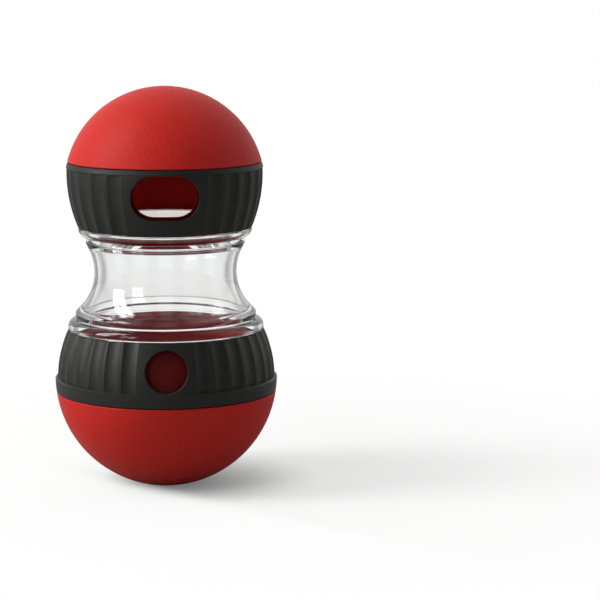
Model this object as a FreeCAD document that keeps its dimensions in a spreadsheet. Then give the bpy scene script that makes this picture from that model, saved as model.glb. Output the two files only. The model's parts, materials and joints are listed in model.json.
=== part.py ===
import FreeCAD, Part
import math
import os
import Sketcher

# A rolling treat dispenser for cats: a clear hourglass with a hollow ball locked on each
# end. A ball is a dome, a liner with an outlet, and a ribbed ring with a window. Turning
# the ring slides its window over the outlet or off it. Turning the ball until its notches
# meet the clear body's lugs frees it.
#
# Each ball end is drawn in its own frame: the origin is the ball's centre and +Z points to
# the clear body. The rings' windows face -Y. Lengths are in millimetres, angles in degrees.

# Driving sizes. A name that starts with lower_ or upper_ belongs to that ball end.
SIZES = (
    # Whole object: distance between the balls' centres, and the flat that it stands on
    ("centre_distance", 77.0),
    ("foot_radius", 10.0),
    # Walls of the mouldings
    ("dome_wall", 2.0),
    ("ring_wall", 2.2),
    ("liner_wall", 1.8),
    ("clear_wall", 2.2),
    # Gaps: liner in dome, ring round liner, ring's ends, clear body on liner, lugs in liner
    ("glue_gap", 0.1),
    ("turn_gap", 0.35),
    ("end_gap", 0.3),
    ("seat_gap", 0.2),
    ("neck_gap", 0.3),
    ("lug_gap", 0.5),
    # Small edges: the break on a rim, and the round on a window
    ("edge_break", 0.3),
    ("edge_round", 0.35),
    # How far the liner's skirt stands in the dome
    ("joint_depth", 3.5),
    # Lower ball: the dome's rim lies below the centre, then come the ring's band, the slope
    # from the band to the grip, and the grip. The window starts a margin above the band
    ("lower_ball_radius", 45.0),
    ("lower_rim_drop", 5.85),
    ("lower_band_height", 5.5),
    ("lower_band_slope", 0.5),
    ("lower_ring_end", 19.5),
    ("lower_grip_start_radius", 44.0),
    ("lower_grip_end_radius", 39.5),
    ("lower_grip_curve", 44.0),
    ("lower_flutes", 36),
    ("lower_plain_angle", 30.0),
    ("lower_window_width", 16.5),
    ("lower_window_margin", 0.6),
    ("lower_outlet_azimuth", 0.0),
    # Upper ball, which is turned over, with a longer window
    ("upper_ball_radius", 40.4),
    ("upper_rim_drop", 10.2),
    ("upper_band_height", 2.1),
    ("upper_band_slope", 0.2),
    ("upper_ring_end", 16.2),
    ("upper_grip_start_radius", 39.4),
    ("upper_grip_end_radius", 35.0),
    ("upper_grip_curve", 57.5),
    ("upper_flutes", 30),
    ("upper_plain_angle", 48.0),
    ("upper_window_width", 26.6),
    ("upper_window_height", 17.6),
    ("upper_window_margin", 0.3),
    ("upper_outlet_azimuth", 270.0),
    # Outlets: how much smaller than the windows, and how much nearer to the band
    ("outlet_inset", 0.7),
    ("outlet_offset", 0.5),
    # Grip flutes: depth, the crest left between two, and how far from the slope they start
    ("flute_depth", 0.8),
    ("crest_width", 1.0),
    ("flute_setback", 0.1),
    # Clear body's waist: its radius, and how far it lies above the middle of the wall
    ("waist_radius", 28.66),
    ("waist_offset", 3.1),
    # Clear body's lower end: the flange that covers the ring's end, with its rounded edge,
    # the groove above it, the bead above that, how far the bead stands back from the
    # flange's edge, how far the straight bore runs past the flange's face, and the neck
    ("lower_flange_edge", 0.9),
    ("lower_flange_round", 3.0),
    ("lower_groove_rise", 0.0),
    ("lower_groove_depth", 0.7),
    ("lower_bead_height", 3.4),
    ("lower_bead_slope", 0.7),
    ("lower_bead_reach", 0.6),
    ("lower_bead_setback", 3.05),
    ("lower_bore_rise", 3.9),
    ("lower_neck_length", 4.8),
    # The same at the upper end, where the waist's curve sets the bead's radius
    ("upper_flange_edge", 1.5),
    ("upper_flange_round", 2.0),
    ("upper_groove_rise", 0.8),
    ("upper_groove_depth", 0.9),
    ("upper_bead_height", 4.0),
    ("upper_bead_slope", 2.2),
    ("upper_bead_reach", 1.2),
    ("upper_bore_rise", 3.5),
    ("upper_neck_length", 4.1),
    # Lugs on the clear necks, the turn that frees them, and the stops at its ends
    ("lug_count", 3),
    ("lug_azimuth", 270.0),
    ("lug_angle", 20.0),
    ("lug_play", 1.5),
    ("lug_reach", 1.3),
    ("lug_height", 1.5),
    ("lug_setback", 0.6),
    ("unlock_turn", 40.0),
    ("stop_angle", 4.0),
)

FULL_TURN = 360
HALF_TURN = 180
RIGHT_ANGLE = 90
# The way that the rings' windows face
WINDOW_AZIMUTH = 270
# Angle by which a flute runs out past the ring's end
RUN_OUT = 4
# Any angle above nought, because a formula then gives the real one
SOME_ANGLE = 1
# Points along an edge that are tested to tell where it lies, and how far past a window's
# width its edges are looked for
EDGE_SAMPLES = 9
SEARCH_MARGIN = 1
# Most passes that the document may need to settle after new formulas
PASSES = 5
# How the sketcher numbers an edge's points, and its own axes, which start at its origin
START = 1
FINISH = 2
CENTRE = 3
ACROSS_AXIS = -1
UP_AXIS = -2


class Length:
    """A number, and the formula that ties it to the cells of the sheets."""

    def __init__(self, value, formula):
        self.value = value
        self.formula = formula

    def __add__(self, other):
        other = as_length(other)
        return Length(self.value + other.value, "({} + {})".format(self.formula, other.formula))

    def __sub__(self, other):
        other = as_length(other)
        return Length(self.value - other.value, "({} - {})".format(self.formula, other.formula))

    def __mul__(self, other):
        other = as_length(other)
        return Length(self.value * other.value, "({} * {})".format(self.formula, other.formula))

    def __truediv__(self, other):
        other = as_length(other)
        return Length(self.value / other.value, "({} / {})".format(self.formula, other.formula))

    def __neg__(self):
        return Length(-self.value, "(0 - {})".format(self.formula))


def as_length(item):
    """A plain number as a Length."""
    if isinstance(item, Length):
        return item
    return Length(float(item), str(float(item)))


def root(item):
    return Length(math.sqrt(item.value), "sqrt({})".format(item.formula))


def arc_sine(item):
    """Angle in degrees whose sine is given."""
    return Length(math.degrees(math.asin(item.value)), "(asin({}) / 1deg)".format(item.formula))


def whole(item):
    return Length(float(math.floor(item.value)), "floor({})".format(item.formula))


def half_chord(radius, distance):
    """Half the chord of a circle at a distance from its centre."""
    return root(radius * radius - distance * distance)


def write_cell(sheet, row, alias, content):
    cell = "B{}".format(row)
    sheet.set("A{}".format(row), alias)
    sheet.set(cell, content)
    sheet.setAlias(cell, alias)


doc = FreeCAD.newDocument("treat_dispenser")
sizes_sheet = doc.addObject("Spreadsheet::Sheet", "Sizes")
worked_sheet = doc.addObject("Spreadsheet::Sheet", "Worked")
worked_names = []
for size_row, (size_name, number) in enumerate(SIZES, start=1):
    write_cell(sizes_sheet, size_row, size_name, str(number))
doc.recompute()


def size(alias):
    """A driving size."""
    return Length(float(sizes_sheet.get(alias)), "Sizes." + alias)


def worked(alias, length):
    """The same length, kept in a cell of its own, so that later formulas stay short."""
    worked_names.append(alias)
    write_cell(worked_sheet, len(worked_names), alias, "=" + length.formula)
    return Length(length.value, "Worked." + alias)


def settle():
    """Recompute until nothing is left to do."""
    for _ in range(PASSES):
        if not doc.recompute():
            return


class Arc:
    """A circle that an outline follows: its radius, and its centre in the outline's plane."""

    def __init__(self, radius, centre_r, centre_z):
        self.radius = radius
        self.centre_r = as_length(centre_r)
        self.centre_z = as_length(centre_z)

    def inside(self, wall):
        """The circle of a surface that lies a wall nearer to the centre."""
        return Arc(self.radius - wall, self.centre_r, self.centre_z)

    def outside(self, wall):
        """The circle of a surface that lies a wall further from the centre."""
        return Arc(self.radius + wall, self.centre_r, self.centre_z)

    def at(self, height):
        """Distance from the axis of the circle's outer side, at a height."""
        return self.centre_r + half_chord(self.radius, height - self.centre_z)

    def waist_at(self, height):
        """Distance from the axis of the circle's inner side, at a height."""
        return self.centre_r - half_chord(self.radius, height - self.centre_z)

    def elevation(self, height):
        """Angle of the circle's outer side at a height, seen from its centre."""
        return arc_sine((height - self.centre_z) / self.radius)

    def counted_down(self, top):
        """The same circle, with heights counted down from a height."""
        return Arc(self.radius, self.centre_r, top - self.centre_z)


class BallEnd:
    """Sizes of one ball end, with its centre as the origin and the clear body above."""

    def __init__(self, name):
        def own(alias):
            return size(name + "_" + alias)

        self.name = name
        # Dome
        self.ball = Arc(own("ball_radius"), 0, 0)
        self.ball_inside = self.ball.inside(size("dome_wall"))
        self.rim = -own("rim_drop")
        self.joint_end = self.rim - size("joint_depth")
        self.joint_bore = worked(name + "_joint_bore", self.ball_inside.at(self.rim))
        # Ring
        self.ring_start = self.rim + size("end_gap")
        self.band_edge = self.rim + own("band_height")
        self.grip_start = self.band_edge + own("band_slope")
        self.ring_end = own("ring_end")
        self.grip_start_radius = own("grip_start_radius")
        self.grip_end_radius = own("grip_end_radius")
        self.grip = self.grip_arc(own("grip_curve"))
        self.ring_inside = self.grip.inside(size("ring_wall"))
        self.flutes = own("flutes")
        self.plain_angle = own("plain_angle")
        self.window_width = own("window_width")
        self.window_bottom = self.band_edge + own("window_margin")
        self.outlet_azimuth = own("outlet_azimuth")
        # Liner, and the clear neck whose lugs turn under its ledge
        self.liner_outside = self.ring_inside.inside(size("turn_gap"))
        self.liner_inside = self.liner_outside.inside(size("liner_wall"))
        self.flange = self.ring_end + size("end_gap")
        self.liner_face = self.flange - size("seat_gap")
        self.neck_rim = self.flange - own("neck_length")
        self.lug_start = self.neck_rim + size("lug_setback")
        self.lug_end = self.lug_start + size("lug_height")
        self.ledge = self.lug_end + size("seat_gap")
        lug_limit = self.liner_inside.at(self.lug_end)
        self.lug_radius = worked(name + "_lug_radius", lug_limit - size("lug_gap"))
        self.neck_radius = self.lug_radius - size("lug_reach")
        self.bore_radius = self.neck_radius - size("clear_wall")
        self.socket_radius = self.neck_radius + size("neck_gap")
        # Clear body, from its flange to where the waist's wall starts
        self.flange_round = own("flange_round")
        self.edge_height = self.flange + own("flange_edge")
        self.groove_height = self.edge_height + self.flange_round + own("groove_rise")
        self.groove_depth = own("groove_depth")
        self.bead_end = self.groove_height + own("bead_height")
        self.bead_slope = own("bead_slope")
        self.bead_reach = own("bead_reach")
        self.bore_end = self.flange + own("bore_rise")

    def grip_arc(self, curve):
        """The circle of the ring's grip, which runs through its two ends."""
        run = self.grip_end_radius - self.grip_start_radius
        rise = self.ring_end - self.grip_start
        chord = worked(self.name + "_grip_chord", root(run * run + rise * rise))
        reach = worked(self.name + "_grip_reach", half_chord(curve, chord / 2))
        middle_r = (self.grip_start_radius + self.grip_end_radius) / 2
        middle_z = (self.grip_start + self.ring_end) / 2
        centre_r = worked(self.name + "_grip_centre_r", middle_r - reach * rise / chord)
        centre_z = worked(self.name + "_grip_centre_z", middle_z + reach * run / chord)
        return Arc(curve, centre_r, centre_z)


def new_body(name):
    body = doc.addObject("PartDesign::Body", name)
    body.Label = name
    return body


def origin_item(body, role):
    """A plane or an axis of a body's own origin."""
    for item in body.Origin.OriginFeatures:
        if item.Role == role:
            return item
    raise ValueError(role)


def bind(item, path, length):
    item.setExpression(path, length.formula)


def new_sketch(body, name, role):
    sketch = body.newObject("Sketcher::SketchObject", name)
    sketch.AttachmentSupport = (origin_item(body, role), [""])
    sketch.MapMode = "FlatFace"
    return sketch


def turn_sketch(sketch, angle):
    """Turn a sketch about its own upright axis."""
    turn = FreeCAD.Rotation(FreeCAD.Vector(0, 1, 0), SOME_ANGLE)
    sketch.AttachmentOffset = FreeCAD.Placement(FreeCAD.Vector(0, 0, 0), turn)
    bind(sketch, "AttachmentOffset.Rotation.Angle", angle)


def measure(sketch, kind, references, length):
    """Add a measured constraint that follows its formula."""
    index = sketch.addConstraint(Sketcher.Constraint(kind, *references, length.value))
    label = "size_{}".format(index)
    sketch.renameConstraint(index, label)
    bind(sketch, "Constraints." + label, length)


def locate(sketch, edge, end, across, up):
    """Tie a point to its distances from the sketch's origin, or to the axis that it is on."""
    directions = ((across, "DistanceX", UP_AXIS), (up, "DistanceY", ACROSS_AXIS))
    for length, kind, axis in directions:
        if length.value == 0:
            sketch.addConstraint(Sketcher.Constraint("PointOnObject", edge, end, axis))
        else:
            measure(sketch, kind, (ACROSS_AXIS, START, edge, end), length)


def add_line(sketch, start, finish):
    """Add a straight edge. Gives its index, and which of its ends start and finish it."""
    return sketch.addGeometry(Part.LineSegment(start, finish)), START, FINISH


def add_arc(sketch, arc, start, finish):
    """Add the shorter arc between two points. Gives the same as add_line."""
    centre = FreeCAD.Vector(arc.centre_r.value, arc.centre_z.value, 0)
    first = math.atan2(start.y - centre.y, start.x - centre.x)
    last = math.atan2(finish.y - centre.y, finish.x - centre.x)
    ends = (START, FINISH)
    if (last - first) % math.tau > math.pi:
        first, last = last, first
        ends = (FINISH, START)
    circle = Part.Circle(centre, FreeCAD.Vector(0, 0, 1), arc.radius.value)
    edge = sketch.addGeometry(Part.ArcOfCircle(circle, first, last))
    measure(sketch, "Radius", (edge,), arc.radius)
    return (edge,) + ends


def add_circle(sketch, radius, across, up):
    """Add a whole circle, tied down by its centre and radius."""
    centre = FreeCAD.Vector(across.value, up.value, 0)
    edge = sketch.addGeometry(Part.Circle(centre, FreeCAD.Vector(0, 0, 1), radius.value))
    locate(sketch, edge, CENTRE, across, up)
    measure(sketch, "Radius", (edge,), radius)


def draw_closed(sketch, corners):
    """Draw a closed outline and tie it down.

    Each corner is its distance across and its height. A third value is the Arc that leads
    to it from the corner before, where that edge isn't straight.
    """
    across = [as_length(corner[0]) for corner in corners]
    up = [as_length(corner[1]) for corner in corners]
    points = [FreeCAD.Vector(x.value, y.value, 0) for x, y in zip(across, up)]
    count = len(corners)
    edges = []
    for index in range(count):
        following = (index + 1) % count
        start = points[index]
        finish = points[following]
        if len(corners[following]) == 3:
            edges.append(add_arc(sketch, corners[following][2], start, finish))
        else:
            edges.append(add_line(sketch, start, finish))
    for index in range(count):
        edge, start_end, finish_end = edges[index]
        next_edge, next_start, _ = edges[(index + 1) % count]
        sketch.addConstraint(
            Sketcher.Constraint("Coincident", edge, finish_end, next_edge, next_start))
        locate(sketch, edge, start_end, across[index], up[index])


def outline(body, name, corners, azimuth=None):
    """A closed outline in the half plane that faces +X, or that faces an azimuth."""
    sketch = new_sketch(body, name, "XZ_Plane")
    if azimuth is not None:
        turn_sketch(sketch, azimuth)
    draw_closed(sketch, corners)
    return sketch


def turned(body, name, sketch, kind="PartDesign::Revolution", angle=None):
    """Solid or cut made by turning an outline about the upright axis."""
    feature = body.newObject(kind, name)
    feature.Profile = sketch
    feature.ReferenceAxis = (sketch, ["V_Axis"])
    feature.Angle = FULL_TURN
    if angle is not None:
        bind(feature, "Angle", angle)
    body.Tip = feature
    return feature


def repeated(body, name, original, pitch, count, backwards=False):
    """Copies of a feature round the upright axis, a pitch apart."""
    pattern = body.newObject("PartDesign::PolarPattern", name)
    pattern.Originals = [original]
    pattern.Axis = (origin_item(body, "Z_Axis"), [""])
    pattern.Mode = "Spacing"
    pattern.Reversed = backwards
    bind(pattern, "Offset", pitch)
    bind(pattern, "Occurrences", count)
    body.Tip = pattern
    return pattern


def window_sketch(body, name, azimuth):
    """Upright sketch through the axis, which looks out along an azimuth."""
    sketch = new_sketch(body, name, "XZ_Plane")
    turn_sketch(sketch, as_length(azimuth) + RIGHT_ANGLE)
    return sketch


def round_window(body, name, end, azimuth, inset, offset):
    """Round window above the band, drawn smaller by an inset and lower by an offset."""
    sketch = window_sketch(body, name, azimuth)
    radius = end.window_width / 2
    add_circle(sketch, radius - inset, as_length(0), end.window_bottom + radius - offset)
    return sketch


def long_window(body, name, end, azimuth, inset, offset):
    """Long window above the band, with half-round ends, drawn smaller and lower."""
    sketch = window_sketch(body, name, azimuth)
    half_height = size("upper_window_height") / 2
    middle = end.window_bottom + half_height - offset
    radius = half_height - inset
    side = end.window_width / 2 - half_height
    right_end = Arc(radius, side, middle)
    left_end = Arc(radius, -side, middle)
    draw_closed(sketch, [
        (side, middle + radius, right_end),
        (-side, middle + radius),
        (-side - radius, middle, left_end),
        (-side, middle - radius, left_end),
        (side, middle - radius),
        (side + radius, middle, right_end),
    ])
    return sketch


def cut_window(body, name, sketch):
    """Cut a window from the axis out through one side of the wall."""
    pocket = body.newObject("PartDesign::Pocket", name)
    pocket.Profile = sketch
    pocket.Type = "ThroughAll"
    pocket.Reversed = True
    body.Tip = pocket


def round_window_edge(body, name, end, wall_middle):
    """Round the window's edge on the outside of the wall."""
    settle()
    base = body.Tip
    side = end.window_width.value / 2 + SEARCH_MARGIN
    names = []
    for index, edge in enumerate(base.Shape.Edges, start=1):
        on_edge = all(
            point.y < 0 and abs(point.x) < side
            and math.hypot(point.x, point.y) > wall_middle.at(as_length(point.z)).value
            for point in edge.discretize(EDGE_SAMPLES))
        if on_edge:
            names.append("Edge{}".format(index))
    fillet = body.newObject("PartDesign::Fillet", name)
    fillet.Base = (base, names)
    bind(fillet, "Radius", size("edge_round"))
    body.Tip = fillet


def place(body, height, turned_over=False):
    """Stand a piece in the whole object."""
    over = FreeCAD.Rotation(FreeCAD.Vector(0, 1, 0), HALF_TURN if turned_over else 0)
    body.Placement = FreeCAD.Placement(FreeCAD.Vector(0, 0, height.value), over)
    bind(body, "Placement.Base.z", height)


def make_dome(end, pole):
    """Hollow cap of a ball, with a bore in its rim for the liner's skirt."""
    body = new_body(end.name + "_dome")
    edge = end.rim - size("edge_break")
    section = outline(body, end.name + "_dome_section", pole + [
        (end.ball.at(edge), edge, end.ball),
        (end.ball.at(end.rim) - size("edge_break"), end.rim),
        (end.joint_bore, end.rim),
        (end.joint_bore, end.joint_end),
        (end.ball_inside.at(end.joint_end), end.joint_end),
        (0, -end.ball_inside.radius, end.ball_inside),
    ])
    turned(body, end.name + "_dome_shell", section)
    return body


def make_liner(end, window):
    """Inner wall of a ball: skirt in the dome, outlet, and the socket for the clear neck."""
    body = new_body(end.name + "_liner")
    skirt = end.joint_bore - size("glue_gap")
    section = outline(body, end.name + "_liner_section", [
        (end.liner_inside.at(end.joint_end), end.joint_end, end.liner_inside),
        (skirt, end.joint_end),
        (skirt, end.rim),
        (end.liner_outside.at(end.rim), end.rim),
        (end.liner_outside.at(end.liner_face), end.liner_face, end.liner_outside),
        (end.socket_radius, end.liner_face),
        (end.socket_radius, end.ledge),
        (end.liner_inside.at(end.ledge), end.ledge),
    ])
    turned(body, end.name + "_liner_wall", section)
    shape_name = end.name + "_outlet_shape"
    outlet = window(
        body, shape_name, end, end.outlet_azimuth, size("outlet_inset"), size("outlet_offset"))
    cut_window(body, end.name + "_outlet", outlet)
    cut_notches(body, end)
    add_stops(body, end)
    return body


def lug_pitch():
    return as_length(FULL_TURN) / size("lug_count")


def half_path():
    """Half the angle that a lug takes up, with its play."""
    return size("lug_angle") / 2 + size("lug_play")


def cut_notches(body, end):
    """Notches that let the lugs through the ledge once the ball is turned."""
    wide = end.lug_radius + size("neck_gap")
    start = size("lug_azimuth") + size("unlock_turn") - half_path()
    section = outline(body, end.name + "_notch_section", [
        (end.bore_radius, end.lug_end),
        (wide, end.lug_end),
        (wide, end.flange),
        (end.bore_radius, end.flange),
    ], start)
    name = end.name + "_notch"
    notch = turned(body, name, section, "PartDesign::Groove", half_path() * 2)
    repeated(body, name + "es", notch, lug_pitch(), size("lug_count"))


def add_stops(body, end):
    """Ribs that stop each lug where it is locked and where it is free."""
    wall = end.liner_outside.inside(size("liner_wall") / 2)
    top = end.ledge + size("seat_gap")
    locked = size("lug_azimuth") - half_path() - size("stop_angle")
    free = size("lug_azimuth") + size("unlock_turn") + half_path()
    for kind, azimuth in (("locked", locked), ("free", free)):
        name = "{}_{}_stop".format(end.name, kind)
        section = outline(body, name + "_section", [
            (end.socket_radius, end.lug_start),
            (wall.at(end.lug_start), end.lug_start),
            (wall.at(top), top, wall),
            (end.socket_radius, top),
        ], azimuth)
        stop = turned(body, name, section, angle=size("stop_angle"))
        repeated(body, name + "s", stop, lug_pitch(), size("lug_count"))


def make_ring(end, window):
    """Adjusting ring: a band flush with the ball, a window, and flutes along the grip."""
    body = new_body(end.name + "_ring")
    edge_break = size("edge_break")
    first = end.ring_start + edge_break
    last = end.ring_end - edge_break
    section = outline(body, end.name + "_ring_section", [
        (end.ring_inside.at(end.ring_start), end.ring_start, end.ring_inside),
        (end.ball.at(first) - edge_break, end.ring_start),
        (end.ball.at(first), first),
        (end.ball.at(end.band_edge), end.band_edge, end.ball),
        (end.grip_start_radius, end.grip_start),
        (end.grip.at(last), last, end.grip),
        (end.grip_end_radius - edge_break, end.ring_end),
        (end.ring_inside.at(end.ring_end), end.ring_end),
    ])
    turned(body, end.name + "_ring_wall", section)
    cut_flutes(body, end)
    nought = as_length(0)
    opening = window(body, end.name + "_window_shape", end, WINDOW_AZIMUTH, nought, nought)
    cut_window(body, end.name + "_window", opening)
    wall_middle = end.grip.inside(size("ring_wall") / 2)
    round_window_edge(body, end.name + "_window_edge", end, wall_middle)
    return body


def cut_flutes(body, end):
    """Round scoops that run along the grip's curve, on both sides of the plain part."""
    depth = size("flute_depth")
    pitch = as_length(FULL_TURN) / end.flutes
    chord = end.grip_start_radius * math.tau / end.flutes - size("crest_width")
    scoop = worked(end.name + "_scoop", (chord * chord / 4 + depth * depth) / (depth * 2))
    start = end.grip.elevation(end.grip_start + size("flute_setback"))
    sweep = end.grip.elevation(end.ring_end) - start + RUN_OUT

    sketch = new_sketch(body, end.name + "_flute_section", "XY_Plane")
    turn_sketch(sketch, -start)
    bind(sketch, "AttachmentOffset.Base.x", end.grip.centre_r)
    bind(sketch, "AttachmentOffset.Base.z", end.grip.centre_z)
    add_circle(sketch, scoop, end.grip.radius - depth + scoop, as_length(0))
    flute = turned(body, end.name + "_flute", sketch, "PartDesign::Groove", sweep)
    flute.Reversed = True

    half_plain = end.plain_angle / 2
    ahead = whole((as_length(WINDOW_AZIMUTH) - half_plain) / pitch) + 1
    behind = whole((as_length(FULL_TURN - WINDOW_AZIMUTH) - half_plain) / pitch) + 1
    repeated(body, end.name + "_flutes_ahead", flute, pitch, ahead)
    repeated(body, end.name + "_flutes_behind", flute, pitch, behind, backwards=True)


def outer_stretch(end, waist):
    """Corners of the clear body's outside, from a neck's rim to the waist's wall."""
    edge_break = size("edge_break")
    wall_radius = waist.waist_at(end.bead_end)
    bead_radius = wall_radius + end.bead_reach
    flange_r = end.grip_end_radius - end.flange_round
    flange_arc = Arc(end.flange_round, flange_r, end.edge_height)
    return [
        (end.bore_radius, end.neck_rim),
        (end.neck_radius - edge_break, end.neck_rim),
        (end.neck_radius, end.neck_rim + edge_break),
        (end.neck_radius, end.flange),
        (end.grip_end_radius, end.flange),
        (end.grip_end_radius, end.edge_height),
        (flange_r, end.edge_height + end.flange_round, flange_arc),
        (bead_radius - end.groove_depth, end.groove_height),
        (bead_radius, end.groove_height + end.groove_depth),
        (bead_radius, end.bead_end - end.bead_slope),
        (wall_radius, end.bead_end),
    ]


def inner_stretch(end, waist):
    """Corners of the clear body's inside, from a neck's bore to the waist's wall."""
    inside = waist.outside(size("clear_wall"))
    return [
        (end.bore_radius, end.bore_end),
        (inside.waist_at(end.bead_end), end.bead_end),
    ]


def counted_down(corners, top):
    """The same corners, with heights counted down from a height."""
    return [
        (corner[0], top - corner[1]) + tuple(arc.counted_down(top) for arc in corner[2:])
        for corner in corners]


def reverse_way(corners):
    """The same stretch of outline, run from its last corner to its first."""
    result = []
    arc = ()
    for corner in reversed(corners):
        result.append(corner[:2] + arc)
        arc = corner[2:]
    return result


def led_by(arc, corners):
    """The same stretch of outline, with an arc that leads to its first corner."""
    return [corners[0] + (arc,)] + corners[1:]


def make_clear_body(lower, upper):
    """Clear hourglass, with a flange, a bead and a lugged neck at each end."""
    body = new_body("clear_body")
    top = size("centre_distance")
    middle = (lower.bead_end + top - upper.bead_end) / 2
    waist_height = worked("waist_height", middle + size("waist_offset"))
    rise = waist_height - lower.bead_end
    wall_radius = lower.grip_end_radius - size("lower_bead_setback") - lower.bead_reach
    sag = wall_radius - size("waist_radius")
    curve = worked("waist_curve", (rise * rise + sag * sag) / (sag * 2))
    waist = Arc(curve, size("waist_radius") + curve, waist_height)
    upper_waist = waist.counted_down(top)
    corners = outer_stretch(lower, waist)
    corners += led_by(waist, reverse_way(counted_down(outer_stretch(upper, upper_waist), top)))
    corners += counted_down(inner_stretch(upper, upper_waist), top)
    waist_inside = waist.outside(size("clear_wall"))
    corners += led_by(waist_inside, reverse_way(inner_stretch(lower, waist)))
    turned(body, "clear_wall", outline(body, "clear_section", corners))
    lugs_over = as_length(HALF_TURN) - size("lug_azimuth")
    add_lugs(body, lower, lower.lug_start, size("lug_azimuth"))
    add_lugs(body, upper, top - upper.lug_end, lugs_over)
    return body


def add_lugs(body, end, low, azimuth):
    """Lugs round a neck, which hook under the liner's ledge."""
    high = low + size("lug_height")
    root_radius = end.neck_radius - size("clear_wall") / 2
    section = outline(body, end.name + "_lug_section", [
        (root_radius, low),
        (end.lug_radius, low),
        (end.lug_radius, high),
        (root_radius, high),
    ], azimuth - size("lug_angle") / 2)
    lug = turned(body, end.name + "_lug", section, angle=size("lug_angle"))
    repeated(body, end.name + "_lugs", lug, lug_pitch(), size("lug_count"))


def check(pieces):
    """Stop where an object failed or a piece isn't one sound solid."""
    for item in doc.Objects:
        if "Invalid" in item.State or "Error" in item.State:
            raise RuntimeError("{} failed: {}".format(item.Name, item.State))
        if item.TypeId == "Sketcher::SketchObject" and not item.FullyConstrained:
            raise RuntimeError("{} isn't tied down".format(item.Name))
    for piece in pieces:
        shape = piece.Shape
        if shape.isNull() or not shape.isValid() or len(shape.Solids) != 1:
            raise RuntimeError("{} isn't one sound solid".format(piece.Label))


def main():
    lower = BallEnd("lower")
    upper = BallEnd("upper")
    foot = worked("foot_drop", half_chord(lower.ball.radius, size("foot_radius")))
    lower_centre = foot
    upper_centre = foot + size("centre_distance")

    foot_pole = [(0, -foot), (size("foot_radius"), -foot)]
    lower_pieces = [
        make_dome(lower, foot_pole),
        make_liner(lower, round_window),
        make_ring(lower, round_window),
        make_clear_body(lower, upper),
    ]
    upper_pieces = [
        make_dome(upper, [(0, -upper.ball.radius)]),
        make_liner(upper, long_window),
        make_ring(upper, long_window),
    ]
    for piece in lower_pieces:
        place(piece, lower_centre)
    for piece in upper_pieces:
        place(piece, upper_centre, turned_over=True)
    settle()

    pieces = lower_pieces + upper_pieces
    check(pieces)
    os.makedirs("parts", exist_ok=True)
    for piece in pieces:
        piece.Shape.exportStep("parts/{}.step".format(piece.Label))
        print("{}: {:.0f} cubic mm".format(piece.Label, piece.Shape.Volume))


main()
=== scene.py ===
# %% [markdown]
# # A rolling treat dispenser
# The dispenser is a clear hourglass with a red ball locked on each end. Each ball has a
# black ribbed ring with a window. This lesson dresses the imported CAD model: it spins the
# clear moulding afresh, because clear plastic shows every facet, gives each plastic its
# own finish, and lights the object the way a catalogue photograph does.

# %% Open the frame
import json
import math

import bpy
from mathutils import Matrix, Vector


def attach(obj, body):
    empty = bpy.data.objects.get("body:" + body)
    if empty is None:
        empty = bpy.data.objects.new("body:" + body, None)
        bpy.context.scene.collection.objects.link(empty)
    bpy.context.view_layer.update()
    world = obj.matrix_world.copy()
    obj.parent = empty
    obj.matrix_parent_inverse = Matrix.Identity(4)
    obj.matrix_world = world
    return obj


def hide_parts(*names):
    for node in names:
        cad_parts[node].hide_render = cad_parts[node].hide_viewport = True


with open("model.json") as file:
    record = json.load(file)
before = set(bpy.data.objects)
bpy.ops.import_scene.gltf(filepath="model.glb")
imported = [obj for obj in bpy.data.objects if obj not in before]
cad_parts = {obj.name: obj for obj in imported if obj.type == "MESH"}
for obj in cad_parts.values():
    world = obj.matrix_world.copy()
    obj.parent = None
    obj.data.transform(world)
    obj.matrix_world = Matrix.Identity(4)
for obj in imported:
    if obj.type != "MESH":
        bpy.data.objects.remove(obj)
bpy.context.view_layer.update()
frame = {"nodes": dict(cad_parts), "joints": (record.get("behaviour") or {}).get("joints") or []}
MM = 0.001
print("nodes:", ", ".join(sorted(frame["nodes"])))

# %% [markdown]
# ## Camera
# A long lens about a metre away keeps the rims' ellipses flat, as in the photograph. The
# camera stands straight in front of the windows and points past the object's right side,
# which leaves the object at the left of the picture.

# %% Camera
CAMERA_BACK = 920.0 * MM
CAMERA_HEIGHT = 213.25 * MM
CAMERA_LENS = 137.4
CAMERA_DIP = 8.582
CAMERA_TURN = 3.389


def add_camera():
    """The camera that sees the dispenser as the photograph does."""
    data = bpy.data.cameras.new("camera")
    data.lens = CAMERA_LENS
    data.clip_start = 0.01
    camera = bpy.data.objects.new("camera", data)
    bpy.context.scene.collection.objects.link(camera)
    camera.location = (0, -CAMERA_BACK, CAMERA_HEIGHT)
    camera.rotation_euler = (math.radians(90 - CAMERA_DIP), 0, -math.radians(CAMERA_TURN))
    bpy.context.scene.camera = camera


add_camera()
print("camera:", round(CAMERA_BACK, 3), "m in front,", CAMERA_LENS, "mm lens")

# %% [markdown]
# ## Shader maths
# A node tree reads best as a formula. `Value` wraps a socket, so that `1 - mask * 0.2`
# adds the Math nodes by itself. `Finish` is one material: its `add` method makes any other
# node from its type, its settings and the values or links of its sockets.

# %% Shader maths
class Value:
    """A socket that takes part in sums."""

    def __init__(self, finish, socket):
        self.finish = finish
        self.socket = socket

    def sum(self, operation, first, second):
        inputs = {0: first, 1: second}
        return self.finish.add("ShaderNodeMath", {"operation": operation}, inputs)

    def __add__(self, other):
        return self.sum("ADD", self, other)

    def __radd__(self, other):
        return self.sum("ADD", other, self)

    def __sub__(self, other):
        return self.sum("SUBTRACT", self, other)

    def __rsub__(self, other):
        return self.sum("SUBTRACT", other, self)

    def __mul__(self, other):
        return self.sum("MULTIPLY", self, other)

    def __rmul__(self, other):
        return self.sum("MULTIPLY", other, self)

    def __truediv__(self, other):
        return self.sum("DIVIDE", self, other)

    def __pow__(self, other):
        return self.sum("POWER", self, other)


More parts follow.
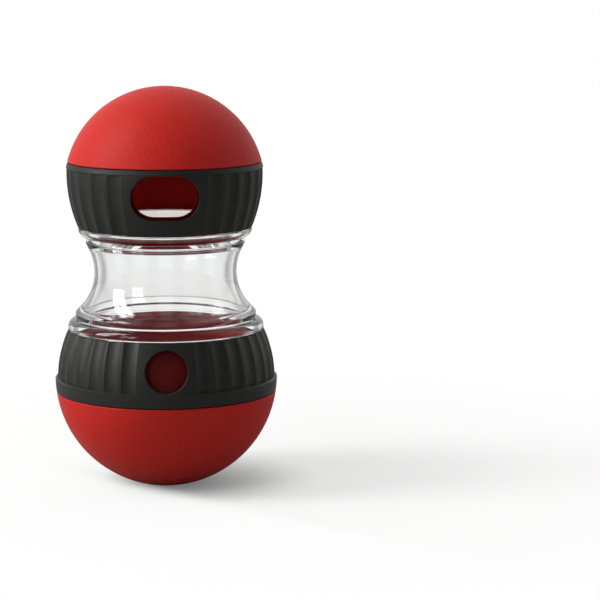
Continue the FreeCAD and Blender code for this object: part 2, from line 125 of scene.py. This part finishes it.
class Finish:
    """A node tree under construction: a material's, or the world's."""

    def __init__(self, owner):
        owner.use_nodes = True
        self.owner = owner
        self.tree = owner.node_tree
        self.tree.nodes.clear()

    def add(self, kind, settings, inputs, output=0):
        node = self.tree.nodes.new(kind)
        for name, setting in settings.items():
            setattr(node, name, setting)
        for name, item in inputs.items():
            if isinstance(item, Value):
                self.tree.links.new(item.socket, node.inputs[name])
            else:
                node.inputs[name].default_value = item
        return Value(self, node.outputs[output])

    def place(self, scale):
        """The piece's own coordinates, in metres, times a scale."""
        place = self.add("ShaderNodeTexCoord", {}, {}, "Object")
        return self.add("ShaderNodeVectorMath", {"operation": "SCALE"}, {0: place, 3: scale})

    def noise(self, grain, detail=2.0, roughness=0.5):
        """Noise whose grains are about so many metres across."""
        inputs = {"Vector": self.place(1 / grain), "Scale": 1.0,
                  "Detail": detail, "Roughness": roughness}
        return self.add("ShaderNodeTexNoise", {}, inputs)

    def between(self, mask, low, high):
        """A colour between two, by a mask."""
        inputs = {"Factor": mask, "A": (*low, 1.0), "B": (*high, 1.0)}
        return self.add("ShaderNodeMix", {"data_type": "RGBA"}, inputs, "Result")

    def spread(self, mask, start, end):
        """The mask stretched so that start becomes 0 and end becomes 1."""
        inputs = {"Value": mask, "From Min": start, "From Max": end}
        return self.add("ShaderNodeMapRange", {"interpolation_type": "SMOOTHSTEP"}, inputs)

    def ray(self, kind):
        """1 for rays of one kind, such as camera rays, and 0 for all others."""
        return self.add("ShaderNodeLightPath", {}, {}, f"Is {kind} Ray")

    def along(self, place, axis):
        """One coordinate of a place or a direction."""
        return self.add("ShaderNodeSeparateXYZ", {}, {"Vector": place}, axis)

    def close(self, shader, output="ShaderNodeOutputMaterial"):
        """Link the shader to an output, and give back the material or world."""
        node = self.tree.nodes.new(output)
        self.tree.links.new(shader.socket, node.inputs["Surface"])
        return self.owner


def new_finish(name):
    """A new material's empty tree."""
    return Finish(bpy.data.materials.new(name))


print("shader helpers:", Value.__name__, "and", Finish.__name__)

# %% [markdown]
# ## Red plastic
# The balls are moulded in a matt red with a fine spark-eroded grain. Two noises make it:
# one of under a millimetre for the grain's bumps, and a broad faint one that keeps the
# large curves from looking like one flat colour. Light that bounces off the balls is
# greyed, because white paper would otherwise blush pink beside them. A liner is the same
# red, but its outer face, which runs in the ring, is painted much darker. This is painted
# shade, so that the windows look into a dark ball. An ellipsoid inside the liner's wall
# parts the two faces.

# %% Red plastic
RED = (0.600, 0.0230, 0.0165)
RED_DEEP = (0.520, 0.0190, 0.0135)
# Painted shade: the dark red of the liners' outer faces, standing in for the ball's dark inside
RED_PAINTED_SHADE = (0.100, 0.0034, 0.0028)
RED_BOUNCE = (0.16, 0.12, 0.115)
RED_GRAIN = 0.8 * MM
RED_PATCHES = 18 * MM
# Half the width over which a liner's painted shade turns, through its wall and along its ends
WALL_BLEND = 0.3
END_BLEND = 0.5


def red_colour(finish, grain):
    """Red in patches, with the grain's hollows deeper in colour."""
    patches = finish.noise(RED_PATCHES, detail=2.0)
    return finish.between(patches * 0.6 + grain * 0.4, RED_DEEP, RED)


def red_shader(finish, colour, grain):
    """The red's gloss and grain."""
    bump = finish.add("ShaderNodeBump", {}, {
        "Height": grain, "Strength": 0.8, "Distance": 0.22 * MM})
    return finish.add("ShaderNodeBsdfPrincipled", {}, {
        "Base Color": colour, "Roughness": 0.40 + grain * 0.20,
        "Specular IOR Level": 0.13, "Normal": bump})


def red_plastic():
    """The domes' finish."""
    finish = new_finish("red_plastic")
    grain = finish.noise(RED_GRAIN, detail=1.5)
    bounced = finish.ray("Diffuse")
    colour = finish.add("ShaderNodeMix", {"data_type": "RGBA"}, {
        "Factor": bounced, "A": red_colour(finish, grain), "B": (*RED_BOUNCE, 1.0)}, "Result")
    return finish.close(red_shader(finish, colour, grain))


def red_liner_with_painted_shade(name, middle, reach, height_scale, low, high):
    """Red plastic with painted shade: dark outside an ellipsoid round the axis, between two
    heights.

    Heights are scaled before the distance is measured, so that a scale below 1 makes the
    ellipsoid taller.
    """
    finish = new_finish(name)
    grain = finish.noise(RED_GRAIN, detail=1.5)
    place = finish.add("ShaderNodeTexCoord", {}, {}, "Object")
    from_middle = finish.add("ShaderNodeVectorMath", {"operation": "SUBTRACT"}, {
        0: place, 1: (0.0, 0.0, middle * MM)})
    scaled = finish.add("ShaderNodeVectorMath", {"operation": "MULTIPLY"}, {
        0: from_middle, 1: (1.0, 1.0, height_scale)})
    distance = finish.add("ShaderNodeVectorMath", {"operation": "LENGTH"}, {0: scaled}, "Value")
    height = finish.along(place, "Z")
    # Painted shade on the liner's outer face, outside the ellipsoid
    outer_shade = finish.spread(distance, (reach - WALL_BLEND) * MM, (reach + WALL_BLEND) * MM)
    above = finish.spread(height, low * MM, (low + END_BLEND) * MM)
    below = finish.spread(height, high * MM, (high - END_BLEND) * MM)
    colour = finish.add("ShaderNodeMix", {"data_type": "RGBA"}, {
        "Factor": outer_shade * above * below, "A": red_colour(finish, grain),
        "B": (*RED_PAINTED_SHADE, 1.0)}, "Result")
    return finish.close(red_shader(finish, colour, grain))


print("red grain:", RED_GRAIN / MM, "mm")

# %% [markdown]
# ## Black plastic
# The rings are a satin black. Their grain is a little finer than the red's, and the
# roughness varies with it, because the light catches it on every crest. Patches of a
# slightly lighter black keep the ribs from looking painted.

# %% Black plastic
BLACK = (0.0130, 0.0128, 0.0116)
BLACK_WORN = (0.0190, 0.0187, 0.0171)
BLACK_GRAIN = 0.6 * MM
BLACK_PATCHES = 7 * MM


def black_plastic():
    """The rings' finish."""
    finish = new_finish("black_plastic")
    grain = finish.noise(BLACK_GRAIN, detail=2.0, roughness=0.6)
    patches = finish.noise(BLACK_PATCHES, detail=3.0)
    colour = finish.between(patches, BLACK, BLACK_WORN)
    bump = finish.add("ShaderNodeBump", {}, {
        "Height": grain, "Strength": 0.8, "Distance": 0.16 * MM})
    shader = finish.add("ShaderNodeBsdfPrincipled", {}, {
        "Base Color": colour, "Roughness": 0.36 + grain * 0.14,
        "Specular IOR Level": 0.28, "Normal": bump})
    return finish.close(shader)


print("black grain:", BLACK_GRAIN / MM, "mm")

# %% [markdown]
# ## Clear plastic
# The hourglass is a clear acrylic-like moulding. It bends light like one, with an index of
# 1.49, and its colour is just off white, so that thick edges look faintly grey. The end of
# the upper neck has a painted glow, an emission that stands in for light carried up inside
# the wall: a white strip, with brighter edges, in the dark of the ball.

# %% Clear plastic
CLEAR = (0.985, 0.99, 0.988)
CLEAR_RIPPLE = 14 * MM
# Painted light: the emission colour of the upper neck's glowing end
PAINTED_GLOW = (0.56, 0.575, 0.545)
GLOW_LOW = 105.4
GLOW_HIGH = 108.2
GLOW_RADIUS = 27.3
GLOW_BLEND = 0.1
GLOW_FADE = 4.0
GLOW_EDGES = 0.35


def painted_neck_glow(finish):
    """Mask of the painted glow: 1 inside the upper neck's end, opposite the window, and more
    along its two edges.
    """
    place = finish.add("ShaderNodeTexCoord", {}, {}, "Object")
    height = finish.along(place, "Z")
    level = finish.add("ShaderNodeVectorMath", {"operation": "MULTIPLY"}, {
        0: place, 1: (1.0, 1.0, 0.0)})
    radius = finish.add("ShaderNodeVectorMath", {"operation": "LENGTH"}, {0: level}, "Value")
    inside = finish.spread(radius, (GLOW_RADIUS + GLOW_BLEND) * MM,
                           (GLOW_RADIUS - GLOW_BLEND) * MM)
    opposite = finish.spread(finish.along(place, "Y"), -GLOW_FADE * MM, GLOW_FADE * MM)
    above = finish.spread(height, (GLOW_LOW - GLOW_BLEND) * MM, (GLOW_LOW + GLOW_BLEND) * MM)
    below = finish.spread(height, (GLOW_HIGH + GLOW_BLEND) * MM, (GLOW_HIGH - GLOW_BLEND) * MM)
    rise = (height - GLOW_LOW * MM) / ((GLOW_HIGH - GLOW_LOW) * MM)
    edges = (2 * rise - 1) ** 4
    seen = (1 - finish.ray("Transmission")) * (1 - finish.ray("Diffuse"))
    return seen * above * below * inside * opposite * (1 + GLOW_EDGES * edges)


def clear_plastic():
    """The hourglass's finish."""
    finish = new_finish("clear_plastic")
    ripple = finish.noise(CLEAR_RIPPLE, detail=1.0)
    bump = finish.add("ShaderNodeBump", {}, {
        "Height": ripple, "Strength": 0.05, "Distance": 0.2 * MM})
    # Painted light: emission on the upper neck's end
    glow = finish.add("ShaderNodeVectorMath", {"operation": "SCALE"}, {
        0: PAINTED_GLOW, 3: painted_neck_glow(finish)})
    shader = finish.add("ShaderNodeBsdfPrincipled", {}, {
        "Base Color": (*CLEAR, 1.0), "Roughness": 0.015, "IOR": 1.49,
        "Transmission Weight": 1.0, "Emission Color": glow, "Emission Strength": 1.0,
        "Normal": bump})
    return finish.close(shader)


print("glowing end:", round(GLOW_HIGH - GLOW_LOW, 1), "mm high")

# %% [markdown]
# ## Dressing the pieces
# Each moulding is one shot of plastic, so each CAD node gets one finish. The two liners
# have one each, because the ellipsoid inside the wall, which bounds their painted shade,
# follows the liner's own curve: a ball for the lower liner, and a taller form for the upper
# one, whose wall curves less.

# %% Dress the CAD nodes
def dress(node, material):
    """Give a CAD node's slots a finish."""
    piece = frame["nodes"][node]
    piece.data.materials.clear()
    piece.data.materials.append(material)
    print(node, "is dressed in", material.name)


def ball_centre(joint_name):
    """Height of the middle of a ball, which its ring turns round, in millimetres."""
    heights = {joint["name"]: joint["pos_m"][2] / MM for joint in frame["joints"]}
    return round(heights[joint_name], 3)


LOWER_CENTRE = ball_centre("lower_ring_turn")
UPPER_CENTRE = ball_centre("upper_ring_turn")
print("balls' middles:", LOWER_CENTRE, "and", UPPER_CENTRE, "mm up")

red = red_plastic()
# Each liner's outer face gets painted shade
lower_red_painted_shade = red_liner_with_painted_shade("red_lower_liner_painted_shade", middle=LOWER_CENTRE, reach=40.6,
                      height_scale=1.0, low=30.0, high=LOWER_CENTRE + 19.0)
upper_red_painted_shade = red_liner_with_painted_shade("red_upper_liner_painted_shade", middle=UPPER_CENTRE + 5.5, reach=36.0,
                      height_scale=0.752, low=UPPER_CENTRE - 15.8, high=140.0)
black = black_plastic()
clear = clear_plastic()
for node in ("lower_dome", "upper_dome"):
    dress(node, red)
dress("lower_liner", lower_red_painted_shade)
dress("upper_liner", upper_red_painted_shade)
for node in ("lower_ring", "upper_ring"):
    dress(node, black)
dress("clear_body", clear)

# %% [markdown]
# ## The clear hourglass
# Clear plastic shows each facet twice, once on its way in and once on its way out. So the
# moulding is drawn again as an outline of straight runs and true arcs, and spun round the
# axis in many steps. Its sizes are the CAD model's own, apart from the upper end, where
# the flange is rounder, the groove deeper and the wall's inner edge higher.

# %% Outline helpers
def arc(centre, radius, start, end, step):
    """Points of an arc between two angles, in degrees from straight out."""
    count = math.ceil(abs(end - start) / step)
    angles = [math.radians(start + (end - start) * i / count) for i in range(count + 1)]
    return [(centre[0] + radius * math.cos(a), centre[1] + radius * math.sin(a))
            for a in angles]


def select_only(piece):
    """Select one piece, and make it the active one."""
    bpy.ops.object.select_all(action="DESELECT")
    piece.select_set(True)
    bpy.context.view_layer.objects.active = piece


def spin_outline(name, points, steps):
    """Extrude one vertex along a closed outline, and spin the outline round the axis."""
    bpy.ops.object.select_all(action="DESELECT")
    bpy.ops.mesh.primitive_plane_add(size=MM, location=(0, 0, 0))
    piece = bpy.context.object
    piece.name = name
    bpy.ops.object.mode_set(mode="EDIT")
    bpy.ops.mesh.merge(type="CENTER")
    bpy.ops.transform.translate(value=(points[0][0] * MM, 0, points[0][1] * MM))
    for (x0, z0), (x1, z1) in zip(points, points[1:] + points[:1]):
        move = {"value": ((x1 - x0) * MM, 0, (z1 - z0) * MM)}
        bpy.ops.mesh.extrude_region_move(TRANSFORM_OT_translate=move)
    bpy.ops.mesh.select_all(action="SELECT")
    bpy.ops.mesh.remove_doubles(threshold=0.001 * MM)
    bpy.ops.mesh.spin(steps=steps, angle=math.tau, center=(0, 0, 0), axis=(0, 0, 1))
    bpy.ops.mesh.select_all(action="SELECT")
    bpy.ops.mesh.remove_doubles(threshold=0.001 * MM)
    bpy.ops.mesh.normals_make_consistent(inside=False)
    bpy.ops.object.mode_set(mode="OBJECT")
    print(name, "spun:", len(piece.data.polygons), "faces")
    return piece


ROUND_STEP = 9.0
WAIST_STEP = 2.5
print("points on a quarter round:", len(arc((0, 0), 1, 0, 90, ROUND_STEP)))

# %% Clear body's outline
CLEAR_WALL = 2.2
WAIST = (49.287, LOWER_CENTRE + 42.75)
WAIST_OUTSIDE = 20.627
WAIST_INSIDE = WAIST_OUTSIDE + CLEAR_WALL
# Where the waist's curve ends, above the lower ball's middle and below the upper one's
WAIST_LOW = 27.1
WAIST_HIGH = 24.8
WAIST_HIGH_INSIDE = 23.8
# Lower end: outer radii, and then heights
LOWER_NECK = 34.028
LOWER_FLANGE = 39.5
LOWER_ROUND = 3.0
LOWER_BEAD = 36.45
LOWER_NECK_END = LOWER_CENTRE + 15.0
LOWER_FLANGE_UNDER = LOWER_CENTRE + 19.8
LOWER_FLANGE_TOP = LOWER_CENTRE + 23.7
LOWER_BEAD_TOP = LOWER_CENTRE + 26.4
# Upper end: outer radii, and then heights
UPPER_BEAD = 32.0
UPPER_GROOVE = 29.5
UPPER_FLANGE = 35.0
UPPER_ROUND = 3.3
UPPER_NECK = 29.196
UPPER_BEAD_LOW = UPPER_CENTRE - 22.5
UPPER_BEAD_TOP = UPPER_CENTRE - 21.6
UPPER_GROOVE_LOW = UPPER_CENTRE - 20.6
UPPER_FLANGE_LOW = UPPER_CENTRE - 20.0
UPPER_FLANGE_TOP = UPPER_CENTRE - 16.5
UPPER_NECK_END = UPPER_CENTRE - 12.4
# Slanted edges of the necks and of the lower bead
NECK_EDGE = 0.3
BEAD_EDGE = 0.7
# Heights between which each neck has a row of faces for the lugs
LOWER_LUGS = (LOWER_CENTRE + 15.6, LOWER_CENTRE + 17.1)
UPPER_LUGS = (UPPER_CENTRE - 14.5, UPPER_CENTRE - 13.0)


def waist(radius, start, end):
    """Points of a waist's curve between two heights, on the side that faces the axis."""
    angles = [180.0 - math.degrees(math.asin((height - WAIST[1]) / radius))
              for height in (start, end)]
    return arc(WAIST, radius, *angles, WAIST_STEP)


def lower_end():
    """Outline of the lower neck, flange and bead, from the neck's inner edge up."""
    neck = [(LOWER_NECK - CLEAR_WALL, LOWER_NECK_END), (LOWER_NECK - NECK_EDGE, LOWER_NECK_END),
            (LOWER_NECK, LOWER_NECK_END + NECK_EDGE), (LOWER_NECK, LOWER_LUGS[0]),
            (LOWER_NECK, LOWER_LUGS[1]), (LOWER_NECK, LOWER_FLANGE_UNDER)]
    middle = (LOWER_FLANGE - LOWER_ROUND, LOWER_FLANGE_TOP - LOWER_ROUND)
    flange = [(LOWER_FLANGE, LOWER_FLANGE_UNDER)] + arc(middle, LOWER_ROUND, 0, 90, ROUND_STEP)
    bead = [(LOWER_BEAD - BEAD_EDGE, LOWER_FLANGE_TOP),
            (LOWER_BEAD, LOWER_FLANGE_TOP + BEAD_EDGE), (LOWER_BEAD, LOWER_BEAD_TOP)]
    return neck + flange + bead


def upper_end():
    """Outline of the upper bead, groove, flange and neck, to the end of the neck's bore."""
    bead = [(UPPER_BEAD, UPPER_BEAD_LOW), (UPPER_BEAD, UPPER_BEAD_TOP)]
    groove = [(UPPER_GROOVE, UPPER_GROOVE_LOW)]
    middle = (UPPER_FLANGE - UPPER_ROUND, UPPER_FLANGE_LOW + UPPER_ROUND)
    flange = arc(middle, UPPER_ROUND, -90, 0, ROUND_STEP) + [(UPPER_FLANGE, UPPER_FLANGE_TOP)]
    neck = [(UPPER_NECK, UPPER_FLANGE_TOP), (UPPER_NECK, UPPER_LUGS[0]),
            (UPPER_NECK, UPPER_LUGS[1]), (UPPER_NECK, UPPER_NECK_END - NECK_EDGE),
            (UPPER_NECK - NECK_EDGE, UPPER_NECK_END), (UPPER_NECK - CLEAR_WALL, UPPER_NECK_END)]
    bore = [(UPPER_NECK - CLEAR_WALL, UPPER_FLANGE_LOW)]
    return bead + groove + flange + neck + bore


def clear_outline():
    """The whole outline: up the outside and down the inside."""
    low = LOWER_CENTRE + WAIST_LOW
    outside = waist(WAIST_OUTSIDE, low, UPPER_CENTRE - WAIST_HIGH)
    inside = waist(WAIST_INSIDE, UPPER_CENTRE - WAIST_HIGH_INSIDE, low)
    bore = [(LOWER_NECK - CLEAR_WALL, LOWER_FLANGE_TOP)]
    return lower_end() + outside + upper_end() + inside + bore


print("outline:", len(clear_outline()), "points")

# %% [markdown]
# ### Lugs
# Three lugs on each neck hook under the liner's ledge. Each is pulled out of the neck's
# own faces, so the moulding stays one closed skin.

# %% Clear body
SPIN_STEPS = 180
LUG_AZIMUTHS = (-90.0, 30.0, 150.0)
LUG_HALF_ANGLE = 10.0
LUG_REACH = 1.3
EDGE_ROUND = 0.18 * MM


def near_lug(x, y):
    """Whether a place round the axis lies on one of the lugs."""
    azimuth = math.degrees(math.atan2(y, x))
    return any(abs((azimuth - lug + 180) % 360 - 180) < LUG_HALF_ANGLE for lug in LUG_AZIMUTHS)


def drop_selection():
    """Deselect every face, edge and point of the active piece."""
    bpy.ops.object.mode_set(mode="EDIT")
    bpy.ops.mesh.select_mode(type="FACE")
    bpy.ops.mesh.select_all(action="DESELECT")
    bpy.ops.object.mode_set(mode="OBJECT")


def pull_lugs(piece, radius, low, high):
    """Extrude the neck's faces between two heights, where the lugs are."""
    drop_selection()
    for face in piece.data.polygons:
        x, y, z = (value / MM for value in face.center)
        on_neck = abs(math.hypot(x, y) - radius) < 0.1
        face.select = on_neck and low < z < high and near_lug(x, y)
    print("faces of the lugs:", sum(face.select for face in piece.data.polygons))
    stretch = (radius + LUG_REACH) / radius
    bpy.ops.object.mode_set(mode="EDIT")
    bpy.ops.mesh.extrude_region_move()
    bpy.ops.transform.resize(value=(stretch, stretch, 1), center_override=(0, 0, 0))
    bpy.ops.object.mode_set(mode="OBJECT")


def soften(piece, width, segments):
    """Round the sharp edges a little, and shade the rest smooth."""
    select_only(piece)
    bevel = piece.modifiers.new("rounded", "BEVEL")
    bevel.width = width
    bevel.segments = segments
    bevel.limit_method = "ANGLE"
    bevel.angle_limit = math.radians(30)
    bpy.ops.object.modifier_apply(modifier=bevel.name)
    bpy.ops.object.shade_smooth_by_angle(angle=math.radians(35))


def make_clear_body():
    """Spin the hourglass, and put it in the place of the CAD node."""
    piece = spin_outline("hourglass", clear_outline(), SPIN_STEPS)
    select_only(piece)
    pull_lugs(piece, LOWER_NECK, *LOWER_LUGS)
    pull_lugs(piece, UPPER_NECK, *UPPER_LUGS)
    soften(piece, EDGE_ROUND, 2)
    piece.data.materials.append(clear)
    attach(piece, "bottle")
    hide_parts("clear_body")


make_clear_body()

# %% [markdown]
# ## Light
# Two softboxes with crossbars stand at the left. The large one lights the balls' left
# sides, and the clear plastic mirrors both as two stacks of white panes.

# %% Light
TARGET = (0, 0, 0.085)


def add_pane(name, place, turn, size, watts):
    """Rectangular area light."""
    data = bpy.data.lights.new(name, "AREA")
    data.shape = "RECTANGLE"
    data.size, data.size_y = size
    data.energy = watts
    lamp = bpy.data.objects.new(name, data)
    bpy.context.scene.collection.objects.link(lamp)
    lamp.location = place
    lamp.rotation_euler = turn


def add_window(name, place, size, grid, bar, watts):
    """A softbox that points at the object, divided into panes."""
    place = Vector(place)
    turn = (Vector(TARGET) - place).to_track_quat("-Z", "Y")
    columns, rows = grid
    pane = (size[0] / columns - bar, size[1] / rows - bar)
    for column in range(columns):
        for row in range(rows):
            across = ((column + 0.5) / columns - 0.5) * size[0]
            up = ((row + 0.5) / rows - 0.5) * size[1]
            spot = place + turn @ Vector((across, up, 0))
            add_pane(f"{name}_{column}_{row}", spot, turn.to_euler(), pane,
                     watts / (columns * rows))


add_window("key", place=(-1.18, -0.16, 0.90), size=(0.50, 1.35), grid=(2, 4), bar=0.03,
           watts=19.4)
add_window("second", place=(-0.98, -0.93, 0.60), size=(0.50, 0.80), grid=(2, 3), bar=0.06,
           watts=3.4)
print("panes:", len(bpy.data.lights))

# %% [markdown]
# ## Surroundings
# The world is bright behind the object and dim in front of it, which keeps the shaded
# sides deep in colour. What shines through the clear plastic is a ring of eight white
# panels with grey gaps between them: a panel stands straight behind the object from each
# main side, and the gaps draw the plastic's edges, as dark cards do in a studio.

# %% World
WORLD_FRONT = 0.22
WORLD_BACK = 0.85
# How much the way to the right counts as behind, and where behind starts and ends
WORLD_LEAN = 0.3
WORLD_TURN = (-0.35, 0.45)
GAP_LEVEL = 0.35
PANELS = 8
# A panel's edge, as cosines: the gap's level at the first and full white at the second
PANEL_EDGE = (-0.65, 0.15)


def panel_level(finish, way):
    """1 on a panel and the gap's level between two, by the way round the object."""
    across = finish.along(way, "X")
    depth = finish.along(way, "Y")
    turn = finish.add("ShaderNodeMath", {"operation": "ARCTAN2"}, {0: across, 1: depth})
    wave = finish.add("ShaderNodeMath", {"operation": "COSINE"}, {0: turn * PANELS})
    return GAP_LEVEL + finish.spread(wave, *PANEL_EDGE) * (1 - GAP_LEVEL)


def light_world():
    """White for the camera, panels for clear plastic, and a soft sky for all else."""
    world = bpy.data.worlds.new("studio")
    bpy.context.scene.world = world
    finish = Finish(world)
    way = finish.add("ShaderNodeTexCoord", {}, {}, "Generated")
    across = finish.along(way, "X")
    depth = finish.along(way, "Y")
    behind = finish.spread(depth + across * WORLD_LEAN, *WORLD_TURN)
    level = WORLD_FRONT + behind * (WORLD_BACK - WORLD_FRONT)
    camera_ray = finish.ray("Camera")
    through = finish.ray("Transmission")
    plain = (1 - camera_ray) * (1 - through)
    strength = level * plain + panel_level(finish, way) * through + camera_ray
    background = finish.add("ShaderNodeBackground", {}, {
        "Color": (1.0, 1.0, 1.0, 1.0), "Strength": strength})
    finish.close(background, "ShaderNodeOutputWorld")


light_world()
print("world nodes:", len(bpy.context.scene.world.node_tree.nodes))

# %% [markdown]
# ## Floor
# The floor is white paper. Near the object it shows the shadow, and further away it turns
# into the plain white of the background, in two steps: half of the way within a few
# centimetres of the shadow's dark core, and the rest within about a quarter of a metre.
# On the lamps' side, where the paper is lit most, it turns white sooner.

# %% Floor
FLOOR_RADIUS = 6.0
SHADOW_CORE = (0.012, 0.004, 0.0)
NEAR_SHARE = 0.48
NEAR_FADE = (0.018, 0.054)
FAR_FADE = (0.04, 0.28)
# The lamps stand at the left and in front, so x and y count alike towards them
LAMP_SLANT = -0.7
LAMP_SIDE_LIFT = 0.65
LAMP_SIDE_FADE = (0.008, 0.024)
PAPER_LIFT = 0.15
THROUGH_SHARE = 0.88
WHITE = (1.0, 1.0, 1.0, 1.0)
PAPER = (0.80, 0.80, 0.79)
PAPER_BOUNCE = (0.40, 0.40, 0.39)


def whiteness(finish, place):
    """How far the paper has turned into the plain background, from 0 to 1."""
    core = finish.add("ShaderNodeVectorMath", {"operation": "DISTANCE"}, {
        0: place, 1: SHADOW_CORE}, "Value")
    shaded = (NEAR_SHARE * finish.spread(core, *NEAR_FADE)
              + (1 - NEAR_SHARE) * finish.spread(core, *FAR_FADE))
    towards_lamps = (finish.along(place, "X") + finish.along(place, "Y")) * LAMP_SLANT
    lamp_side = finish.spread(towards_lamps, *LAMP_SIDE_FADE)
    return 1 - (1 - shaded) * (1 - LAMP_SIDE_LIFT * lamp_side)


def floor_white():
    """Lit paper that turns into an even white."""
    finish = new_finish("floor_white")
    place = finish.add("ShaderNodeTexCoord", {}, {}, "Object")
    camera_ray = finish.ray("Camera")
    through = finish.ray("Transmission")
    colour = finish.between(camera_ray, PAPER_BOUNCE, PAPER)
    paper = finish.add("ShaderNodeBsdfDiffuse", {}, {"Color": colour})
    lift = finish.add("ShaderNodeEmission", {}, {
        "Color": WHITE, "Strength": camera_ray * PAPER_LIFT})
    lit = finish.add("ShaderNodeAddShader", {}, {0: paper, 1: lift})
    glow = camera_ray + panel_level(finish, place) * through
    white = finish.add("ShaderNodeEmission", {}, {"Color": WHITE, "Strength": glow})
    share = whiteness(finish, place) * camera_ray + through * THROUGH_SHARE
    return finish.close(finish.add("ShaderNodeMixShader", {}, {0: share, 1: lit, 2: white}))


def add_floor():
    """A wide disc of paper, which stays out of the exported model."""
    bpy.ops.object.select_all(action="DESELECT")
    bpy.ops.mesh.primitive_circle_add(vertices=96, radius=FLOOR_RADIUS, fill_type="NGON")
    floor = bpy.context.object
    floor.name = "floor"
    floor.data.materials.append(floor_white())


add_floor()
bpy.context.scene.view_settings.view_transform = "Standard"
print("floor:", FLOOR_RADIUS, "m in radius")
